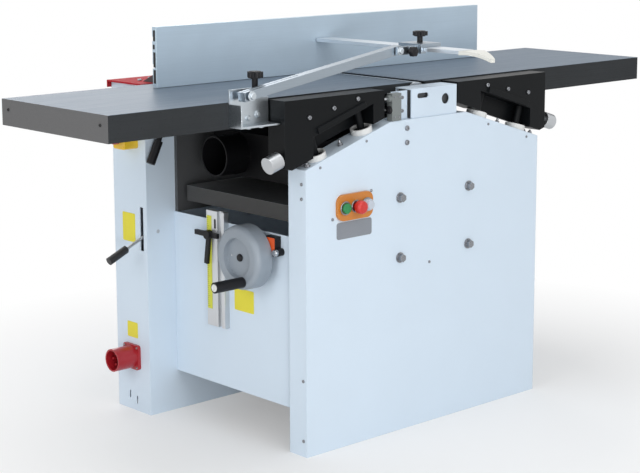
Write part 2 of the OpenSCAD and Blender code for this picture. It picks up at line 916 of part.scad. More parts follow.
// Side outline of a bracket, inset by its wall for the pocket
function bracket_outline(ends, e) =
  let (
    rise = e / cos(slope),
    step_in = cup_xs[0] - stud_r - 3 - e,
    step_out = cup_xs[1] + stud_r + edge_rise * sin(slope) + 3 + e,
    corner = 20
  ) [
    [ends[0] + e, bracket_top - e],
    [ends[0] + e, slope_z(ends[0] + e) + lobe_rise + rise],
    [step_in, slope_z(step_in) + lobe_rise + rise],
    [step_in, slope_z(step_in) + edge_rise + rise],
    [step_out, slope_z(step_out) + edge_rise + rise],
    [step_out, slope_z(step_out) + lobe_rise + rise],
    [ends[1] - corner - e, slope_z(ends[1] - corner - e) + lobe_rise + rise],
    [ends[1] - e, slope_z(ends[1]) + lobe_rise + 12 + rise],
    [ends[1] - e, bracket_top - e]
  ];

lock_rise = lobe_rise + 34;
// Rear wall of a bracket between its lobes: its lower edge clears the cups
skirt_rise = cup_h / cos(slope) + 4;
skirt_in = 2;
skirt_x = [cup_xs[0] - stud_r - 4, cup_xs[1] + stud_r + edge_rise * sin(slope) + 4];
bar_rise = edge_rise + 2;
bar_l = 158;
bar_t = 10;
bar_h = 14;

// Places its children on a bracket's lock axis, which runs out and down along the slope
module on_lock_axis(ends) {
  translate([ends[1], lock_y, slope_z(ends[1]) + lock_rise]) rotate([0, 90 + slope, 0]) children();
}

module table_bracket(ends) {
  bar_x = cup_xs[0] + 14;
  difference() {
    union() {
      wall_xz(bracket_y) polygon(bracket_outline(ends, 0));
      translate([bar_x, bracket_y[0] - bar_t / 2, slope_z(bar_x) + bar_rise]) rotate([0, slope, 0])
        cube([bar_l, bar_t, bar_h]);
    }
    wall_xz([bracket_y[0] + bracket_wall, bracket_y[1] + cut]) polygon(bracket_outline(ends, bracket_wall));
    on_lock_axis(ends) translate([0, 0, -40]) cylinder(r = lock_rod_r + run_clear, h = 60);
  }
  wall_xz([bracket_y[1] - skirt_in - bracket_wall, bracket_y[1] - skirt_in]) polygon([
    [skirt_x[0], slope_z(skirt_x[0]) + skirt_rise], [skirt_x[1], slope_z(skirt_x[1]) + skirt_rise],
    [skirt_x[1], slope_z(skirt_x[1]) + edge_rise + 1], [skirt_x[0], slope_z(skirt_x[0]) + edge_rise + 1]
  ]);
}

module table_lock(ends) {
  seat = 8;
  on_lock_axis(ends) {
    translate([0, 0, -bracket_wall - 18]) cylinder(r = lock_rod_r, h = bracket_wall + 18 + seat + 1);
    translate([0, 0, seat]) cylinder(r = knob_r, h = knob_l);
  }
}

module rest_studs(side) {
  for (x = cup_xs)
    on_slope(side, x) translate([0, 0, cup_floor + gap])
      cylinder(r = stud_r, h = edge_rise * cos(slope) - cup_floor - gap);
}

module infeed_bracket() {
  color("black") mirror([1, 0, 0]) table_bracket(infeed_ends);
}

module infeed_studs() {
  color("black") rest_studs(-1);
}

module infeed_lock() {
  color("silver") mirror([1, 0, 0]) table_lock(infeed_ends);
}

module outfeed_bracket() {
  color("black") table_bracket(outfeed_ends);
}

module outfeed_studs() {
  color("black") rest_studs(1);
}

module outfeed_lock() {
  color("silver") table_lock(outfeed_ends);
}

// Fence and its guide on the infeed table

// Distance of the carriage from the inner hinge, and its length
carriage_in = 45;
carriage_l = 150;
carriage_x = [carriage_in - hinge_in, carriage_in + carriage_l - hinge_in];
carriage_y = [tilt_y + 9, tilt_y + 61];
rail_half = 24;
rail_mid = (carriage_x[0] + carriage_x[1]) / 2;
rail_h = 12;
guide_y = [fence_back + fence_travel + 1, table_y + 18];
ear_t = 14;
ear_r = 8;
ear_in = 12;
ear_xs = [carriage_x[0] + ear_in, carriage_x[1] - ear_in - ear_t];
tilt_pin_r = 5;
// Lugs of the carriage between the fence's ears and the rail, and the pins through the ears
lug_xs = [
  [ear_xs[0] + ear_t + gap, rail_mid - rail_half - 2],
  [rail_mid + rail_half + 2, ear_xs[1] - gap]
];
tilt_pin_xs = [[ear_xs[0], lug_xs[0][1]], [lug_xs[1][0], ear_xs[1] + ear_t]];

module fence_guide() {
  color("dimgray") span([rail_mid - rail_half, rail_mid + rail_half], guide_y, [table_z, table_z + rail_h]);
}

module fence_carriage() {
  color("silver") {
    difference() {
      span(carriage_x, carriage_y, [table_z + 2, carriage_top]);
      span([rail_mid - rail_half - gap, rail_mid + rail_half + gap],
        [carriage_y[0] - cut, carriage_y[1] + cut],
        [table_z, table_z + rail_h + gap]);
    }
    for (x = lug_xs) {
      span(x, [tilt_y, carriage_y[0] + 1], [tilt_z - ear_r, tilt_z + ear_r]);
      rod_x(tilt_y, tilt_z, ear_r, x);
    }
    for (x = tilt_pin_xs)
      rod_x(tilt_y, tilt_z, tilt_pin_r, x);
  }
}

groove = 10;

module fence_plate() {
  color("lightslategray") difference() {
    union() {
      span([-fence_left, fence_right], [fence_y, fence_back], [fence_z, fence_z + fence_h]);
      for (x = ear_xs) {
        span([x, x + ear_t], [fence_back - 1, tilt_y], [tilt_z - ear_r, tilt_z + ear_r]);
        rod_x(tilt_y, tilt_z, ear_r, [x, x + ear_t]);
      }
    }
    for (z = [0.35, 0.8])
      span([-fence_left - cut, fence_right + cut], [fence_back - fence_t / 2, fence_back + cut],
        [fence_z + z * fence_h - groove / 2, fence_z + z * fence_h + groove / 2]);
    for (x = ear_xs)
      rod_x(tilt_y, tilt_z, tilt_pin_r + run_clear, [x - cut, x + ear_t + cut]);
  }
}

// Bridge guard over the cutter

guard_side = guard_w / 2;
pivot_r = 6;
bracket_x = [guard_pivot_x - 32, guard_pivot_x + 80];
guard_plate_t = 4;
guard_front = guard_y - guard_side - 2;
// Tab of the guard bracket that the knob clamps on the table
tab_x = [bracket_x[1] - 40, bracket_x[1]];
tab_d = 36;

module guard_bracket() {
  z = [table_z - 56, guard_pivot_z + 13];
  color("lightgray") {
    span(bracket_x, [-table_y - guard_plate_t, -table_y], [z[0], table_z - 2]);
    span([bracket_x[0], guard_pivot_x + 31], [-table_y - guard_plate_t, -table_y], [z[0], z[1]]);
    span(bracket_x, [guard_front - guard_plate_t, -table_y], [z[0], z[0] + guard_plate_t]);
    span([bracket_x[0], bracket_x[0] + guard_plate_t], [guard_front - guard_plate_t, -table_y],
      [z[0], table_z - 4]);
    rod_y(guard_pivot_x, guard_pivot_z, pivot_r, [guard_front - 3, -table_y]);
    span(tab_x, [-table_y - guard_plate_t, -table_y], [table_z - 3, table_z + guard_plate_t]);
    span(tab_x, [-table_y - guard_plate_t, -table_y + tab_d], [table_z, table_z + guard_plate_t]);
  }
}

// Places its children along the inclined arm, from its pivot
module on_guard_arm() {
  translate([guard_pivot_x, guard_y, guard_pivot_z]) rotate([0, -guard_tilt, 0]) children();
}

module guard_arm() {
  inner = guard_side - guard_wall;
  half = guard_h / 2;
  color("silver") on_guard_arm() difference() {
    span([-16, guard_l + 12], [-guard_side, guard_side], [-half, half]);
    span([12, guard_l - 12], [-inner, inner], [-half - cut, half - guard_wall]);
    rod_y(0, 0, pivot_r + run_clear, [-guard_side - cut, guard_side + cut]);
    rod_y(guard_l, 0, pivot_r + run_clear, [-guard_side - cut, guard_side + cut]);
    span([-17, guard_l / 3], [-2, 2], [half - 1, half + cut]);
  }
}

holder_x = [strip_x - strip_w / 2 - 9, strip_x + strip_w / 2 + 7];
holder_y = [guard_y - 34, guard_y + 42];
strip_bottom = strip_z() - strip_t / 2;
strip_top = strip_z() + strip_t / 2;

module guard_holder() {
  slide = 0.4;
  color("silver") {
    difference() {
      span(holder_x, holder_y, [strip_bottom - 5, strip_top + 9]);
      span([strip_x - strip_w / 2 - slide, strip_x + strip_w / 2 + slide],
        [holder_y[0] - cut, holder_y[1] + cut],
        [strip_bottom - slide, strip_top + slide]);
      span([strip_x - strip_w / 2 + 8, strip_x + strip_w / 2 - 8], [holder_y[0] - cut, holder_y[1] + cut],
        [strip_bottom - 6, strip_bottom]);
    }
    span([guard_end_x - 10, holder_x[0] + 1], [guard_y - guard_side - 9, guard_y - guard_side - 3],
      [strip_z() - 10, strip_z() + 10]);
    rod_y(guard_end_x, strip_z(), pivot_r, [guard_y - guard_side - 8, guard_y + guard_side]);
  }
}

// Radius of the end cap's curve, width of its tip and flats along the curve
cap_bend = 240;
cap_tip = 12;
cap_flats = 14;

module guard_strip() {
  front = fence_y - 2 - strip_l;
  side = strip_w / 2;
  root = front + 1;
  falls = [
    for (i = [0:cap_flats])
      let (y = root - i * (cap_l + 1) / cap_flats)
      [y, strip_top - cap_bend + sqrt(pow(cap_bend, 2) - pow(front - cap_l / 4 - y, 2))]
  ];
  under = [for (i = [cap_flats:-1:0]) falls[i] - [0, strip_t]];
  color("lightsteelblue") {
    span([strip_x - side, strip_x + side], [front, fence_y - 2], [strip_bottom, strip_top]);
    intersection() {
      translate([strip_x - side, 0, 0]) rotate([90, 0, 90]) linear_extrude(strip_w) polygon(concat(falls, under));
      translate([strip_x, 0, strip_bottom - cap_l]) linear_extrude(2 * cap_l) polygon([
        [-strip_w, root + 1], [-strip_w, front - cap_l - 2], [cap_tip - side, front - cap_l - 2],
        [side + 1, front - cap_l / 3], [side + 1, root + 1]
      ]);
    }
  }
}

module guard_knob() {
  stem = 42;
  color("black") translate([(tab_x[0] + tab_x[1]) / 2, -table_y + tab_d / 2, table_z + guard_plate_t]) {
    cylinder(r = 7, h = stem);
    translate([0, 0, stem - 1]) star_knob(19, 16);
  }
}

module strip_knob() {
  color("black") translate([strip_x, guard_y + 4, strip_top + 9]) {
    cylinder(r = 7, h = 16);
    translate([0, 0, 15]) star_knob(19, 13);
  }
}

// Thicknessing table and its lift

nut_r = 20;
nut_h = 30;

module thickness_table() {
  color("dimgray") difference() {
    union() {
      span([-thick_x, thick_x], [-thick_w / 2, thick_w / 2], [thick_bottom, thick_z]);
      rod_z(0, 0, column_r, [thick_bottom - column_l, thick_bottom + 1]);
      rod_z(screw_x, -wheel_y, nut_r, [thick_bottom - nut_h, thick_bottom + 1]);
    }
    rod_z(screw_x, -wheel_y, screw_r + run_clear, [thick_bottom - nut_h - cut, thick_z - 8]);
  }
}

// Bevel wheels lie on the cones that meet where the two shafts' axes cross
module bevel(start, end) {
  translate([0, 0, start]) cylinder(r1 = start - 0.5, r2 = end - 0.5, h = end - start);
}

module lift_screw() {
  color("silver") {
    rod_z(screw_x, -wheel_y, screw_r, [panel_z + base_h + gap, thick_bottom - 1]);
    translate([screw_x, -wheel_y, wheel_z]) rotate([180, 0, 0]) bevel(bevel_d[0], bevel_d[1]);
  }
}

module wheel_shaft() {
  color("silver") {
    rod_x(-wheel_y, wheel_z, wheel_shaft_r, [wheel_x - wheel_w + 16, screw_x - bevel_d[0]]);
    translate([screw_x, -wheel_y, wheel_z]) rotate([0, -90, 0]) bevel(bevel_d[0], bevel_d[1]);
  }
}

module wheel_bush() {
  color("dimgray") difference() {
    rod_x(-wheel_y, wheel_z, wheel_shaft_r + 12, [wheel_x + 1, -panel_xs[1]]);
    rod_x(-wheel_y, wheel_z, wheel_shaft_r + run_clear, [wheel_x, -panel_xs[1] + cut]);
  }
}

// Places its children on the wheel's axis, with Z away from the machine
module on_wheel() {
  translate([wheel_x, -wheel_y, wheel_z]) rotate([0, -90, 0]) children();
}

grip_turn = 202;
grip_pin_r = 5;
rim_round = 14;
dish_r = 46;
dish_depth = 12;

module on_grip() {
  on_wheel() rotate(grip_turn) translate([grip_d, 0, 0]) children();
}

module handwheel() {
  rim_in = wheel_r - 18;
  hub_r = wheel_shaft_r + 14;
  web = 14;
  color("lightsteelblue") {
    on_wheel() rotate_extrude() polygon(concat(
      [[wheel_shaft_r, 0], [hub_r, 0], [hub_r, web], [rim_in, web], [rim_in, 0], [wheel_r, 0]],
      [for (a = [0 : 15 : 90])
        [wheel_r - rim_round + rim_round * cos(a), wheel_w - rim_round + rim_round * sin(a)]],
      [[dish_r + 2, wheel_w], [dish_r, wheel_w - dish_depth], [wheel_shaft_r, wheel_w - dish_depth]]
    ));
    on_grip() translate([0, 0, wheel_w - 1]) cylinder(r = grip_pin_r, h = grip_l + 1);
  }
}

module wheel_grip() {
  color("black") on_grip() difference() {
    translate([0, 0, wheel_w + gap]) cylinder(r = grip_r, h = grip_l);
    cylinder(r = grip_pin_r + run_clear, h = wheel_w + grip_l);
  }
}

// Position indicator, height scale and clamp beside the wheel

indicator_t = 17;
indicator_w = 34;
indicator_h = 47;
indicator_knob_r = 9;

module position_indicator() {
  y = -wheel_y - wheel_r - 7;
  z = wheel_z + 9;
  x = [-panel_xs[1] - indicator_t, -panel_xs[1]];
  color("black") {
    span(x, [y, y + indicator_w], [z, z + indicator_h]);
    rod_x(y - 4, z + indicator_knob_r + 2, indicator_knob_r, x);
  }
}

rail_y = [28, 95];
rail_l = 287;
rail_z = [panel_top + 26 - rail_l, panel_top + 26];
rail_t = 15;
rail_x = -panel_xs[1] - rail_t;

module scale_rail() {
  groove_y = [rail_y[0] + 12, rail_y[0] + 26];
  color("silver") difference() {
    span([rail_x, -panel_xs[1]], rail_y, rail_z);
    span([rail_x - cut, rail_x + 9], groove_y, [rail_z[0] - cut, rail_z[1] + cut]);
    rod_x(clamp_pivot_y, clamp_pivot_z, 6 + run_clear, [rail_x - cut, rail_x + 10]);
  }
}

clamp_pivot_y = 80;
clamp_pivot_z = wheel_z + 27;

module table_clamp() {
  t = 8;
  lever_w = 12;
  color("black") translate([rail_x - gap - t, clamp_pivot_y, clamp_pivot_z]) {
    rod_x(0, 0, 11, [-6, t]);
    rod_x(0, 0, 6, [t, t + 8]);
    span([0, t], [-34, 52], [-6, 6]);
    rotate([8, 0, 0]) span([0, t], [-lever_w / 2, lever_w / 2], [-74, 0]);
  }
}

front_pedestal();
rear_cabinet();
rear_panel();
cabinet_lid();
left_cross_panel();
right_cross_panel();
lift_base();
front_head_block();
rear_head_block();
cutter_bearings();
bearing_cover();
hinge_posts();
hinge_pins();
rest_cups();
pedestal_bolts();
switch_bracket();
limit_switch();
switch_plunger();
control_plate();
start_button();
stop_button();
signal_lamp();
estop_box();
estop_button();
power_inlet();
motor();
motor_pulley();
drive_belt();
chip_hood();
cutter_block();
infeed_roller();
outfeed_roller();
scale_rail();
table_clamp();
wheel_bush();
handwheel();
wheel_shaft();
wheel_grip();
position_indicator();
thickness_table();
lift_screw();
feed_lever();
infeed_table();
infeed_bracket();
infeed_studs();
infeed_lock();
infeed_clamp();
outfeed_table();
outfeed_bracket();
outfeed_studs();
outfeed_lock();
fence_guide();
fence_carriage();
fence_plate();
guard_bracket();
guard_arm();
guard_holder();
guard_strip();
guard_knob();
strip_knob();
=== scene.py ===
"""Looks of a combination planer thicknesser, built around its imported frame, in metres."""

import json
import math

import bmesh
import bpy
from mathutils import Matrix, Vector

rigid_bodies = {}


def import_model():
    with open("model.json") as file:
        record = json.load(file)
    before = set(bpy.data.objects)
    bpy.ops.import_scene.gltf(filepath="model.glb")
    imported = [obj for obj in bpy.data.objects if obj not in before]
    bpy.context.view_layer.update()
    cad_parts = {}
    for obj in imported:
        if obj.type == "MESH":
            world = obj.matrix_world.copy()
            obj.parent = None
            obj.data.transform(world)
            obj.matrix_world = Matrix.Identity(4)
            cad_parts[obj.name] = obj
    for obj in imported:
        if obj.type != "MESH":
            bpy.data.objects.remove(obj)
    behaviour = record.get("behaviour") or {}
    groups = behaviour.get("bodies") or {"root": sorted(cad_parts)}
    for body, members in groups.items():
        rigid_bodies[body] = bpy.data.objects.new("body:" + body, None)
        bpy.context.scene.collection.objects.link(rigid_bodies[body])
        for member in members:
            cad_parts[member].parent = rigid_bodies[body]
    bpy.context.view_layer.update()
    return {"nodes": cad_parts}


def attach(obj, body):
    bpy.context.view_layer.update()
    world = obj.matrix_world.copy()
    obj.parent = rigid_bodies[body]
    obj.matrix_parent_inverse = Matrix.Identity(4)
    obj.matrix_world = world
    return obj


for leftover in list(bpy.data.objects):
    bpy.data.objects.remove(leftover)

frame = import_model()
MM = 0.001


# Materials

def tree_of(name):
    """A new material, its node tree and its shader."""
    material = bpy.data.materials.new(name)
    material.use_nodes = True
    tree = material.node_tree
    return material, tree, tree.nodes["Principled BSDF"]


def add(tree, kind, settings=None, **inputs):
    """A node whose settings are set and whose inputs are linked or given values."""
    node = tree.nodes.new(kind)
    for key, value in (settings or {}).items():
        setattr(node, key, value)
    for key, value in inputs.items():
        socket = node.inputs[int(key[1:])] if key[1:].isdigit() else node.inputs[key.replace("_", " ")]
        if isinstance(value, bpy.types.NodeSocket):
            tree.links.new(value, socket)
        else:
            socket.default_value = value
    return node


def noise(tree, coords, scale, detail=3.0, stretch=(1, 1, 1), rough=0.55):
    """Noise in the row frame, stretched along the axes."""
    place = add(tree, "ShaderNodeMapping", Vector=coords, Scale=stretch)
    clouds = add(tree, "ShaderNodeTexNoise", Vector=place.outputs[0], Scale=scale, Detail=detail,
                 Roughness=rough)
    return clouds.outputs[0]


def remap(tree, value, low, high, to_low, to_high):
    """A value carried from one range to another and held inside it."""
    carried = add(tree, "ShaderNodeMapRange", Value=value, From_Min=low, From_Max=high, To_Min=to_low,
                  To_Max=to_high)
    return carried.outputs[0]


def maths(tree, operation, *values):
    """The result of a sum of values or sockets."""
    inputs = {"_%d" % i: value for i, value in enumerate(values)}
    return add(tree, "ShaderNodeMath", {"operation": operation}, **inputs).outputs[0]


def mix_colors(tree, factor, a, b):
    """Two colours mixed by a factor."""
    node = add(tree, "ShaderNodeMix", {"data_type": "RGBA"})
    for socket, value in ((node.inputs[0], factor), (node.inputs[6], a), (node.inputs[7], b)):
        if isinstance(value, bpy.types.NodeSocket):
            tree.links.new(value, socket)
        else:
            socket.default_value = value
    return node.outputs[2]


def shade(color, k):
    """A colour made lighter or darker, with its alpha."""
    return tuple(min(1.0, c * k) for c in color) + (1.0,)


def edge_mask(tree, radius):
    """One on the edges of a solid and nought on its faces, with the rounded normal."""
    round_normal = add(tree, "ShaderNodeBevel", {"samples": 4}, Radius=radius).outputs[0]
    plain = add(tree, "ShaderNodeNewGeometry").outputs["Normal"]
    dot = add(tree, "ShaderNodeVectorMath", {"operation": "DOT_PRODUCT"}, _0=round_normal, _1=plain)
    return remap(tree, dot.outputs["Value"], 0.995, 0.8, 0.0, 1.0), round_normal


AXES = {"x": 0, "y": 1, "z": 2}


def surface(name, color, rough=0.4, metal=0.0, vary=0.06, streak=None, peel=0.0, grain=900.0, edge=1.15,
            bevel=0.0012, coat=0.0, zones=(), speck=0.0, spec=0.5):
    """A finish with clouded colour, fine grain, worn edges and other finishes past places on an axis.

    streak is the axis that brush marks run along, and peel the depth of a coat's dimples. A zone is
    (axis, sign, place, color, rough, metal), and only the first zone's metal counts."""
    material, tree, shader = tree_of(name)
    coords = add(tree, "ShaderNodeTexCoord").outputs["Object"]
    cloud = noise(tree, coords, 7.0, 4.0)
    if streak:
        long_axis = AXES[streak]
        stretch = tuple(3.0 if i == long_axis else 260.0 for i in range(3))
        fine = noise(tree, coords, 2.0, 5.0, stretch, 0.65)
    else:
        fine = noise(tree, coords, grain, 2.0)
    clouds = remap(tree, cloud, 0.3, 0.7, 0.0, 1.0)
    clouded = mix_colors(tree, clouds, shade(color, 1 - vary), shade(color, 1 + vary))
    marked = mix_colors(tree, remap(tree, fine, 0.35, 0.7, 0.0, 0.5), clouded, shade(color, 1 - 1.6 * vary))
    if speck:
        dots = noise(tree, coords, 240.0, 1.0)
        marked = mix_colors(tree, remap(tree, dots, 0.66, 0.72, 0.0, speck), marked, shade(color, 0.45))
    mask, round_normal = edge_mask(tree, bevel)
    worn = mix_colors(tree, mask, marked, shade(color, edge))
    roughness = remap(tree, fine, 0.3, 0.7, rough - 0.06, rough + 0.08)
    metallic = None
    for axis, sign, place, color2, rough2, metal2 in zones:
        split = add(tree, "ShaderNodeSeparateXYZ", Vector=coords).outputs[AXES[axis]]
        step = 0.0003 * sign
        inside = remap(tree, split, place - step, place + step, 0.0, 1.0)
        grains = remap(tree, fine, 0.3, 0.75, 0.0, 1.0)
        other = mix_colors(tree, grains, shade(color2, 1 + vary), shade(color2, 1 - vary))
        other = mix_colors(tree, mask, other, shade(color2, edge))
        worn = mix_colors(tree, inside, worn, other)
        roughness = maths(tree, "MULTIPLY_ADD", inside, rough2 - rough, roughness)
        if metallic is None:
            metallic = remap(tree, inside, 0.0, 1.0, metal, metal2)
    if peel:
        dimple = noise(tree, coords, 320.0, 1.5)
        bump = add(tree, "ShaderNodeBump", Strength=peel, Distance=0.0004, Height=dimple, Normal=round_normal)
    else:
        bump = add(tree, "ShaderNodeBump", Strength=0.12, Distance=0.0003, Height=fine, Normal=round_normal)
    tree.links.new(worn, shader.inputs["Base Color"])
    tree.links.new(roughness, shader.inputs["Roughness"])
    tree.links.new(bump.outputs[0], shader.inputs["Normal"])
    if metallic is None:
        shader.inputs["Metallic"].default_value = metal
    else:
        tree.links.new(metallic, shader.inputs["Metallic"])
    shader.inputs["Specular IOR Level"].default_value = spec
    if coat:
        shader.inputs["Coat Weight"].default_value = coat
        shader.inputs["Coat Roughness"].default_value = 0.15
    return material


def moulded(name, color, rough=0.35):
    """A moulded plastic."""
    return surface(name, color, rough, vary=0.05, peel=0.1, edge=1.25, bevel=0.0015, coat=0.15)


def printed(name, color, edge):
    """A thin bare plate."""
    return surface(name, color, 0.42, vary=0.05, peel=0.05, edge=edge, bevel=0.0006)


# Places in metres where a finish changes: just under the ground tops, the tables' left end, the strip's cap
# and the feed lever's grip

SKIN = 0.0004
GROUND_TOP = 0.845 - SKIN
THICK_TOP = 0.585 - SKIN
GROUND_END = -0.8997
STRIP_CAP = -0.378
LEVER_GRIP = -0.5252

WHITE = surface("white_coat", (0.62, 0.72, 0.82), 0.42, vary=0.012, peel=0.16, edge=1.06, bevel=0.002,
                spec=0.35)
RED_COAT = surface("red_coat", (0.42, 0.025, 0.035), 0.6, vary=0.05, peel=0.15, edge=1.3, spec=0.04)
# The ground tops' blue-grey is partly their own tone and partly a painted reflection of the sky, with little
# metal and specular
TABLE = surface("ground_table", (0.034, 0.037, 0.04), 0.5, 0.0, 0.1, streak="x", edge=1.6, speck=0.35,
                spec=0.08,
                zones=[("z", 1, GROUND_TOP, (0.15, 0.19, 0.24), 0.45, 0.1),
                       ("x", -1, GROUND_END, (0.13, 0.13, 0.132), 0.4, 0.1)])
THICK = surface("thick_table", (0.05, 0.05, 0.05), 0.5, 0.0, 0.1, streak="x", edge=1.5, spec=0.25,
                zones=[("z", 1, THICK_TOP, (0.2, 0.21, 0.22), 0.36, 0.5)])
CASTING = surface("painted_casting", (0.075, 0.078, 0.082), 0.5, 0.0, 0.1, peel=0.4, edge=1.5)
BLACK_COAT = surface("black_coat", (0.005, 0.006, 0.007), 0.4, vary=0.1, peel=0.2, edge=3.0, bevel=0.0015,
                     spec=0.12)
HOOD = surface("hood_black", (0.005, 0.005, 0.006), 0.46, vary=0.12, peel=0.3, edge=2.5, spec=0.15)
BLACK = surface("black_moulded", (0.009, 0.009, 0.011), 0.45, vary=0.12, peel=0.25, edge=2.6, spec=0.25)
STEEL = surface("bright_steel", (0.58, 0.6, 0.62), 0.26, 1.0, 0.06, streak="y", edge=1.2)
BOLT = surface("bolt_steel", (0.27, 0.28, 0.3), 0.3, 1.0, 0.08, grain=1200.0, edge=1.7)
TURNED = surface("turned_aluminium", (0.52, 0.54, 0.56), 0.36, 1.0, 0.06, grain=1500.0, edge=1.2)
ZINC = surface("zinc_plate", (0.53, 0.58, 0.62), 0.3, 1.0, 0.08, grain=1100.0, edge=1.2)
ALU_X = surface("drawn_aluminium_x", (0.34, 0.39, 0.44), 0.33, 1.0, 0.05, streak="x", edge=1.2)
ALU_Z = surface("drawn_aluminium_z", (0.62, 0.64, 0.66), 0.36, 0.9, 0.05, streak="z", edge=1.2)
STRIP = surface("guard_strip_finish", (0.66, 0.71, 0.76), 0.34, 0.75, 0.04, streak="y", edge=1.15,
                zones=[("y", -1, STRIP_CAP, (0.74, 0.74, 0.69), 0.34, 0.0)])
FENCE = surface("anodised_fence", (0.47, 0.58, 0.68), 0.42, 0.35, 0.045, streak="x", edge=1.7, bevel=0.0016)
WHEEL = moulded("wheel_grey", (0.26, 0.3, 0.345), 0.45)
PALE = moulded("pale_moulded", (0.7, 0.71, 0.7), 0.32)
SWITCH = surface("switch_grey", (0.2, 0.22, 0.22), 0.42, 0.3, 0.06, peel=0.2, edge=1.4)
AMBER = moulded("amber_moulded", (0.55, 0.19, 0.02))
GREEN = moulded("green_moulded", (0.01, 0.22, 0.06))
RED = moulded("red_moulded", (0.55, 0.02, 0.015), 0.3)
DEEP_RED = moulded("deep_red_moulded", (0.36, 0.012, 0.02), 0.32)
YELLOW = moulded("yellow_moulded", (0.78, 0.5, 0.02))
ORANGE = moulded("orange_moulded", (0.75, 0.1, 0.015))
LENS = moulded("white_lens", (0.5, 0.55, 0.62), 0.2)
RUBBER = surface("belt_rubber", (0.018, 0.018, 0.018), 0.7, vary=0.1, peel=0.4, edge=1.5)
LEVER = surface("lever_finish", (0.52, 0.54, 0.56), 0.32, 0.9, 0.08, edge=1.2,
                zones=[("x", -1, LEVER_GRIP, (0.012, 0.012, 0.014), 0.45, 0.0)])
PLATE_YELLOW = printed("plate_yellow", (0.74, 0.66, 0.03), 0.7)
PLATE_LIME = printed("plate_lime", (0.62, 0.64, 0.05), 0.7)
PLATE_GREY = printed("plate_grey", (0.22, 0.24, 0.27), 1.3)
# Painted shade on dark sheets in slots and hollows, and the plain black of the scale's marks and the tables'
# end screws
SHADE_AND_BLACK = surface("painted_shade_and_black", (0.008, 0.008, 0.009), 0.6, vary=0.1, peel=0.1, edge=1.2)

FINISH = {
    WHITE: "front_pedestal rear_cabinet rear_panel left_cross_panel right_cross_panel bearing_cover "
           "switch_bracket",
    RED_COAT: "cabinet_lid",
    CASTING: "lift_base front_head_block rear_head_block hinge_posts fence_guide wheel_bush motor",
    STEEL: "cutter_bearings hinge_pins switch_plunger cutter_block infeed_roller outfeed_roller "
           "wheel_shaft lift_screw motor_pulley",
    BOLT: "pedestal_bolts",
    TURNED: "infeed_lock outfeed_lock",
    PALE: "rest_cups",
    SWITCH: "limit_switch",
    AMBER: "control_plate",
    GREEN: "start_button",
    RED: "stop_button",
    DEEP_RED: "estop_button power_inlet",
    LENS: "signal_lamp",
    YELLOW: "estop_box",
    RUBBER: "drive_belt",
    HOOD: "chip_hood",
    BLACK_COAT: "infeed_bracket outfeed_bracket infeed_studs outfeed_studs",
    BLACK: "table_clamp wheel_grip guard_knob strip_knob infeed_clamp position_indicator",
    LEVER: "feed_lever",
    ALU_Z: "scale_rail",
    ALU_X: "fence_carriage guard_arm guard_holder",
    STRIP: "guard_strip",
    ZINC: "guard_bracket",
    WHEEL: "handwheel",
    TABLE: "infeed_table outfeed_table",
    THICK: "thickness_table",
    FENCE: "fence_plate",
}
for material, names in FINISH.items():
    for node_name in names.split():
        data = frame["nodes"][node_name].data
        data.materials.clear()
        data.materials.append(material)


# Mesh pieces

ROUND = 24
SHARP = math.radians(32)


def placed(pos, axis, turn=0.0):
    """The matrix that stands Z along axis at a place in millimetres, in metres."""
    spin = Vector((0, 0, 1)).rotation_difference(Vector(axis)).to_matrix().to_4x4()
    about = Matrix.Rotation(math.radians(turn), 4, "Z")
    return Matrix.Translation(Vector(pos) * MM) @ spin @ about @ Matrix.Scale(MM, 4)


def hexagon(r):
    """Radius of a hexagon with a flat's distance of r, as a function of the angle."""
    return lambda a: r / math.cos((a % (math.pi / 3)) - math.pi / 6)


def lobed(r, depth, count):
    return lambda a: r - depth * (0.5 - 0.5 * math.cos(count * a))


def turned(bm, rings, matrix, seg=ROUND, hole=False):
    """Stacks rings of (height, radius) in millimetres, where a radius may depend on the angle.

    The ends are closed, or joined to each other if hole."""
    loops = []
    for z, r in rings:
        loop = []
        for i in range(seg):
            a = 2 * math.pi * i / seg
            here = r(a) if callable(r) else r
            loop.append(bm.verts.new(matrix @ Vector((here * math.cos(a), here * math.sin(a), z))))
        loops.append(loop)
    pairs = list(zip(loops, loops[1:]))
    if hole:
        pairs.append((loops[-1], loops[0]))
    for low, high in pairs:
        for i in range(seg):
            j = (i + 1) % seg
            bm.faces.new((low[i], low[j], high[j], high[i]))
    if not hole:
        bm.faces.new(list(reversed(loops[0])))
        bm.faces.new(loops[-1])


def outline_plate(bm, points, thick, edge, matrix):
    """A plate of an outline in its own X and Y, with its front edge broken."""
    centre = sum((Vector(p) for p in points), Vector((0, 0))) / len(points)
    loops = []
    for z, inset in ((0, 0), (thick - edge, 0), (thick, edge)):
        loop = []
        for p in points:
            d = Vector(p) - centre
            q = Vector(p) - d.normalized() * inset if d.length else Vector(p)
            loop.append(bm.verts.new(matrix @ Vector((q.x, q.y, z))))
        loops.append(loop)
    count = len(points)
    for low, high in zip(loops, loops[1:]):
        for i in range(count):
            j = (i + 1) % count
            bm.faces.new((low[i], low[j], high[j], high[i]))
    bm.faces.new(list(reversed(loops[0])))
    bm.faces.new(loops[-1])


def rounded(w, h, r, steps=5):
    """Points of a rectangle with round corners, about its middle."""
    points = []
    for cx, cy, start in ((1, 1, 0), (-1, 1, 90), (-1, -1, 180), (1, -1, 270)):
        for k in range(steps + 1):
            a = math.radians(start + 90 * k / steps)
            points.append((cx * (w / 2 - r) + r * math.cos(a), cy * (h / 2 - r) + r * math.sin(a)))
    return points


